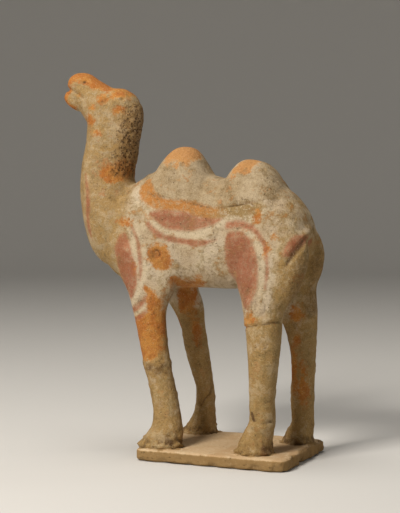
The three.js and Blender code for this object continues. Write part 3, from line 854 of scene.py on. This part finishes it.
def painted_clay():
    """From the ground up: cream slip with tan and olive stains and painted shade towards the rump, the
    cloth's thicker slip, bare orange clay with a painted highlight on the hump tops and painted reflected
    light on the far hind leg, the ochre band, the red motifs, soil with painted shade in hollows, the pitted
    mane, dark marks with painted shade in creases, grime and specks."""
    clay = Clay("painted_clay")
    broad = clay.grain(34, 2)
    middle = clay.grain(9, 4, 0.6)
    small = clay.grain(3, 5, 0.65)
    fine = clay.grain(1.0, 3, 0.7)
    cloud = clay.grain(14, 9, 0.78)
    ragged = (middle - 0.5) * 11 + (small - 0.5) * 10
    # Tan stains on the neck and lower legs, and painted shade towards the rump's rear.
    earth_tint_and_rear_shade = clay.field("earth_tint_and_rear_shade") + (middle - 0.5) * 1.8
    colour = clay.coat(earth(194, 176, 150), earth(182, 160, 130), broad.rise(0.4, 0.6))
    colour = clay.coat(colour, earth(162, 130, 80), earth_tint_and_rear_shade.rise(0.1, 0.9))
    pale = cloud.rise(0.5, 0.58)
    colour = clay.coat(colour, earth(200, 182, 150), pale * (0.55 - earth_tint_and_rear_shade.rise(0.1, 0.9) * 0.2))
    olive = (middle * 0.5 + small * 0.5).rise(0.48, 0.57)
    colour = clay.coat(colour, earth(140, 120, 76), olive * 0.55)
    cloth = (clay.field("above") + ragged * 0.3).rise(-0.6, 1.0)
    colour = clay.coat(colour, earth(158, 136, 102), cloth * (0.55 + broad.rise(0.35, 0.55) * 0.3))
    colour = clay.coat(colour, earth(184, 164, 134), cloth * pale * 0.55)
    colour = clay.coat(colour, earth(128, 106, 72), cloth * cloud.rise(0.49, 0.4) * 0.5)
    bright = (clay.field("bright") + ragged * 0.4).rise(-1.4, 1.4)
    colour = clay.coat(colour, earth(202, 184, 154), bright * 0.75)
    lengthwise = clay.node("ShaderNodeSeparateXYZ", {}, {0: clay.place}, "X")
    height = clay.node("ShaderNodeSeparateXYZ", {}, {0: clay.place}, "Z")
    orange = clay.coat(earth(186, 126, 58), earth(172, 104, 42), middle.rise(0.42, 0.6))
    # Painted highlight: the bare orange is paler on the hump tops.
    hump_top_highlight = height.rise(0.228, 0.24) * lengthwise.rise(-0.09, -0.08)
    orange = clay.coat(orange, earth(186, 138, 86), hump_top_highlight * 0.75)
    # Bare orange clay, and on the far hind leg painted reflected light of the same orange.
    bare = (clay.field("bare") + ragged * 1.1).rise(-2.0, 2.2)
    rubbed = (middle * 0.5 + broad * 0.2 + small * 0.3).rise(0.54, 0.62) * 0.5
    colour = clay.coat(colour, orange, (bare * 0.95).most(rubbed))
    ochre = (clay.field("ochre") + ragged * 0.6).rise(-2.8, 1.0)
    faded = (lengthwise + (middle - 0.5) * 0.03).rise(-0.02, 0.012)
    band = clay.coat(earth(176, 112, 40), earth(142, 114, 66), faded)
    band = clay.coat(band, earth(150, 96, 44), cloud.rise(0.48, 0.4) * 0.6)
    colour = clay.coat(colour, band, ochre * (0.88 - small.rise(0.5, 0.6) * (0.4 + faded * 0.35)))
    depth = clay.field("red")
    red = (depth + ragged * 0.4).rise(-2.0, 1.6)
    pigment = clay.coat(earth(170, 112, 80), earth(150, 88, 60), (depth * 0.03 + middle).rise(0.42, 0.72))
    scuffed = (small * 0.6 + fine * 0.4).rise(0.48, 0.57)
    colour = clay.coat(colour, pigment, red * (0.94 - scuffed * (0.5 - depth.rise(0, 8) * 0.25)))
    shank = clay.field("shank")
    # Soil on the lower legs, and painted shade in the hollows.
    soil_and_shade = (shank * 0.35 + clay.field("hollow") * 0.5 - 0.2 + (middle - 0.5) * 1.8).rise(0.1, 0.8)
    colour = clay.coat(colour, earth(178, 150, 104), soil_and_shade * (1 - bare * 0.7) * 0.75)
    mane = clay.field("mane")
    colour = clay.coat(colour, earth(148, 112, 68), mane * (0.35 + small.rise(0.4, 0.6) * 0.4))
    crumb = clay.specks(2.1)
    patches = (small * 0.6 + mane * 0.08 + middle * 0.4).rise(0.49, 0.56)
    pitted = mane * ((crumb - (small - 0.5) * 1.6).rise(0.42, 0.2) * patches)
    pit_and_shade_brown = earth(78, 50, 28)
    colour = clay.coat(colour, pit_and_shade_brown, pitted * 0.75)
    crests = crumb.rise(0.3, 0.16) * small.rise(0.48, 0.4)
    colour = clay.coat(colour, earth(196, 164, 114), mane * crests * 0.6)
    # Dark marks in the clay, with painted shade in the crater, under the cloth's lip, under the tail and at
    # the rump's rear.
    dark = clay.field("dark") + (small - 0.5) * 0.6
    colour = clay.coat(colour, pit_and_shade_brown, dark.rise(0.12, 0.85) * 0.85)
    grime = cloud.rise(0.47, 0.36)
    colour = clay.coat(colour, earth(118, 94, 56), grime * 0.45)
    speck = clay.specks(3.1).rise(0.2, 0.1) * cloud.rise(0.5, 0.4)
    colour = clay.coat(colour, earth(96, 72, 42), speck * 0.5)
    colour = clay.coat(colour, earth(96, 76, 46), fine.rise(0.54, 0.66) * 0.42)
    colour = clay.coat(colour, earth(210, 192, 160), fine.rise(0.44, 0.3) * 0.35)
    relief = small * 0.9 + fine * 0.6 + middle * 0.5 + cloud * 1.1 - bare * 0.25 - speck * 0.8
    return clay.fire(colour, 0.93, relief - pitted * 1.2, 1.2)


skin = modelled_camel()
fields = painted(skin, weathered_and_shaded(skin))
camel = fired("camel_clay", skin.points, skin.quads, "root", "camel_figure")
for name, values in fields.items():
    camel.data.attributes.new(name, "FLOAT", "POINT").data.foreach_set("value", values)
camel.data.materials.append(painted_clay())

# The table and the light. A plain pale floor, a warm soft light from the upper left in front, another
# from above, a weak one from the right behind, and an even grey all round.


def sweep():
    """A round floor that bends up into a wall all round, in metres: flat, then a quarter circle, then
    upright."""
    bend = np.linspace(0, np.pi / 2, 16)
    out = np.concatenate([[0.01, 0.8], 2.2 + 1.2 * np.sin(bend), [3.4]])
    up = np.concatenate([[0, 0], 1.2 - 1.2 * np.cos(bend), [3.4]])
    sides = 64
    angle = np.linspace(0, 2 * np.pi, sides, endpoint=False)
    rings = np.stack([
        out[:, None] * np.cos(angle),
        out[:, None] * np.sin(angle),
        np.broadcast_to(up[:, None], (len(up), sides)),
    ], -1)
    points, faces = closed_form(rings)
    return points[:-1], faces[:-sides][:, ::-1]


floor_points, floor_faces = sweep()
floor_mesh = bpy.data.meshes.new("floor")
floor_mesh.from_pydata(floor_points.tolist(), [], floor_faces.tolist())
floor_mesh.polygons.foreach_set("use_smooth", np.ones(len(floor_mesh.polygons), bool))
floor = bpy.data.objects.new("floor", floor_mesh)
bpy.context.scene.collection.objects.link(floor)
table = Clay("pale_table")
floor.data.materials.append(table.fire(earth(212, 210, 206), 0.9, table.grain(40), 0.01))


# The camel's middle, and how far from it the lights stand, in metres.
MIDDLE = Vector((-0.03, 0.0, 0.16))
LIGHT_DISTANCE = 1.6


def soft_light(name, towards, size, power, colour):
    """A square light at a set distance from the camel's middle, facing it."""
    lamp = bpy.data.lights.new(name, "AREA")
    lamp.shape = "SQUARE"
    lamp.size = size
    lamp.energy = power
    lamp.color = colour
    stand = bpy.data.objects.new(name, lamp)
    stand.location = MIDDLE + Vector(towards).normalized() * LIGHT_DISTANCE
    stand.rotation_euler = (MIDDLE - stand.location).to_track_quat("-Z", "Y").to_euler()
    bpy.context.scene.collection.objects.link(stand)


soft_light("window", (-0.22, -0.76, 0.62), 0.45, 26, (1.0, 0.95, 0.88))
soft_light("overhead", (-0.1, -0.05, 1.0), 0.9, 11, (1.0, 0.96, 0.9))
soft_light("edge", (0.95, 0.75, 0.4), 0.35, 2, (1.0, 0.96, 0.92))
sky = bpy.data.worlds.new("room")
sky.use_nodes = True
sky.node_tree.nodes["Background"].inputs["Color"].default_value = (0.62, 0.62, 0.62, 1.0)
sky.node_tree.nodes["Background"].inputs["Strength"].default_value = 0.13
bpy.context.scene.world = sky
bpy.context.scene.view_settings.view_transform = "Standard"
